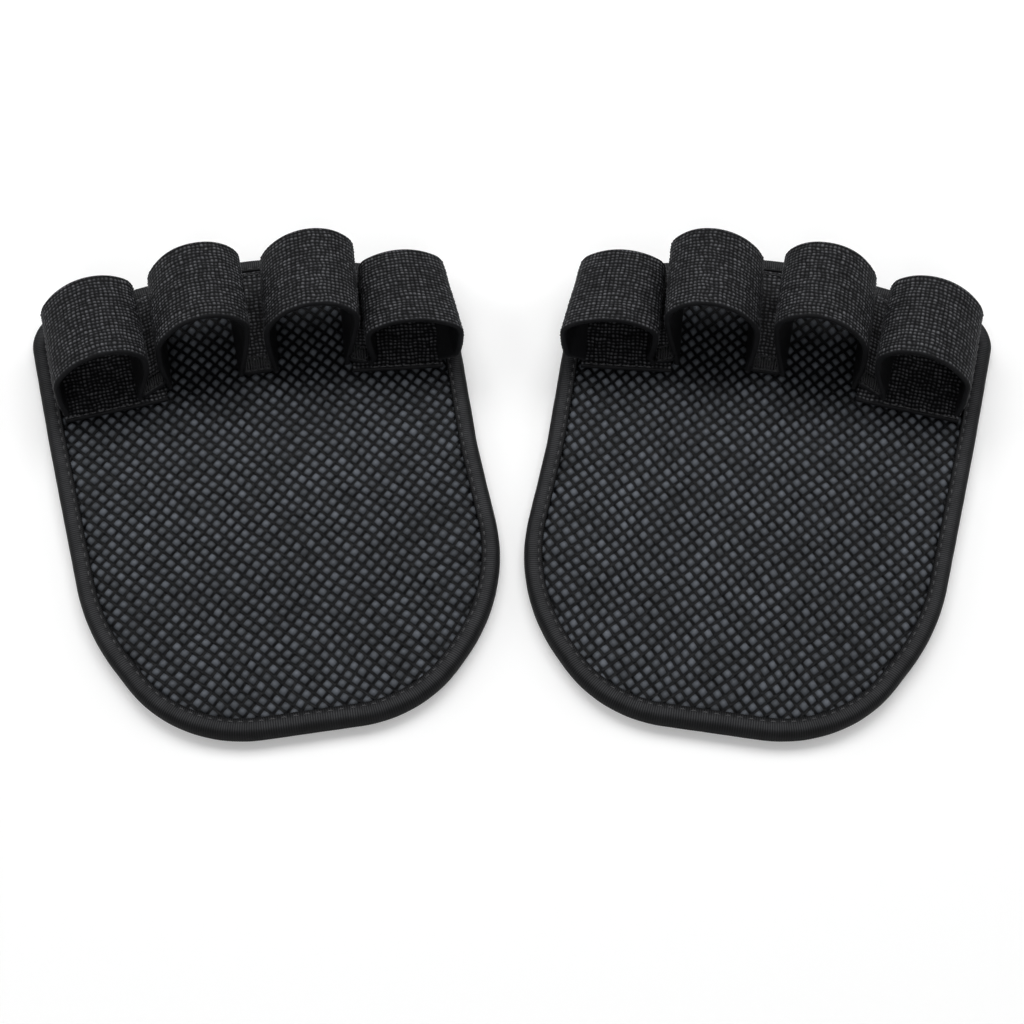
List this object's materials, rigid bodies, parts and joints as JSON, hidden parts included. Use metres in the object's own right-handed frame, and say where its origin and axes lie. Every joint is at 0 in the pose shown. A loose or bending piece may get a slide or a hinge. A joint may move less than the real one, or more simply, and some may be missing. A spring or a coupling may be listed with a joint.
{
  "type": "palm grips",
  "caption": "Pair of flat padded palm grips with a textured rubber face, folded edge binding and elastic finger loops that stretch over the fingers.",
  "frame": {"origin": "on the floor, midway between the two grips, at the centre of their common outline", "axes": "+X from the left-hand pad to the right-hand pad, +Y towards the fingertips, +Z out of the palm face"},
  "size_m": [0.2414, 0.1354, 0.0273],
  "materials": {
    "palm_rubber": "satin embossed",
    "core_foam": "matte",
    "backing_fabric": "matte",
    "binding_tape": "matte",
    "seam_thread": "matte",
    "strap_elastic": "matte woven"
  },
  "bodies": {
    "left_grip": {"left_face_panel": "palm_rubber", "left_foam_core": "core_foam", "left_backing_panel": "backing_fabric", "left_edge_binding": "binding_tape", "left_binding_thread": "seam_thread", "left_index_tail": "strap_elastic", "left_little_tail": "strap_elastic", "left_strap_flats": "strap_elastic", "left_bartacks": "seam_thread", "left_tail_stitches": "seam_thread"},
    "right_grip": {"right_face_panel": "palm_rubber", "right_foam_core": "core_foam", "right_backing_panel": "backing_fabric", "right_edge_binding": "binding_tape", "right_binding_thread": "seam_thread", "right_index_tail": "strap_elastic", "right_little_tail": "strap_elastic", "right_strap_flats": "strap_elastic", "right_bartacks": "seam_thread", "right_tail_stitches": "seam_thread"},
    "left_index_band": {"left_index_loop": "strap_elastic"},
    "left_middle_band": {"left_middle_loop": "strap_elastic"},
    "left_ring_band": {"left_ring_loop": "strap_elastic"},
    "left_little_band": {"left_little_loop": "strap_elastic"},
    "right_index_band": {"right_index_loop": "strap_elastic"},
    "right_middle_band": {"right_middle_loop": "strap_elastic"},
    "right_ring_band": {"right_ring_loop": "strap_elastic"},
    "right_little_band": {"right_little_loop": "strap_elastic"}
  },
  "joints": [
    {"name": "right_grip_lay", "type": "slide", "parent": "left_grip", "child": "right_grip", "axis": [1, 0, 0], "range_m": [0, 0.1]},
    {"name": "left_index_stretch", "type": "slide", "parent": "left_grip", "child": "left_index_band", "axis": [0, 0, 1], "range_m": [0, 0.006], "stiffness_N_per_m": 500},
    {"name": "left_middle_stretch", "type": "slide", "parent": "left_grip", "child": "left_middle_band", "axis": [0, 0, 1], "range_m": [0, 0.006], "stiffness_N_per_m": 500},
    {"name": "left_ring_stretch", "type": "slide", "parent": "left_grip", "child": "left_ring_band", "axis": [0, 0, 1], "range_m": [0, 0.006], "stiffness_N_per_m": 500},
    {"name": "left_little_stretch", "type": "slide", "parent": "left_grip", "child": "left_little_band", "axis": [0, 0, 1], "range_m": [0, 0.006], "stiffness_N_per_m": 500},
    {"name": "right_index_stretch", "type": "slide", "parent": "right_grip", "child": "right_index_band", "axis": [0, 0, 1], "range_m": [0, 0.006], "stiffness_N_per_m": 500},
    {"name": "right_middle_stretch", "type": "slide", "parent": "right_grip", "child": "right_middle_band", "axis": [0, 0, 1], "range_m": [0, 0.006], "stiffness_N_per_m": 500},
    {"name": "right_ring_stretch", "type": "slide", "parent": "right_grip", "child": "right_ring_band", "axis": [0, 0, 1], "range_m": [0, 0.006], "stiffness_N_per_m": 500},
    {"name": "right_little_stretch", "type": "slide", "parent": "right_grip", "child": "right_little_band", "axis": [0, 0, 1], "range_m": [0, 0.006], "stiffness_N_per_m": 500}
  ]
}
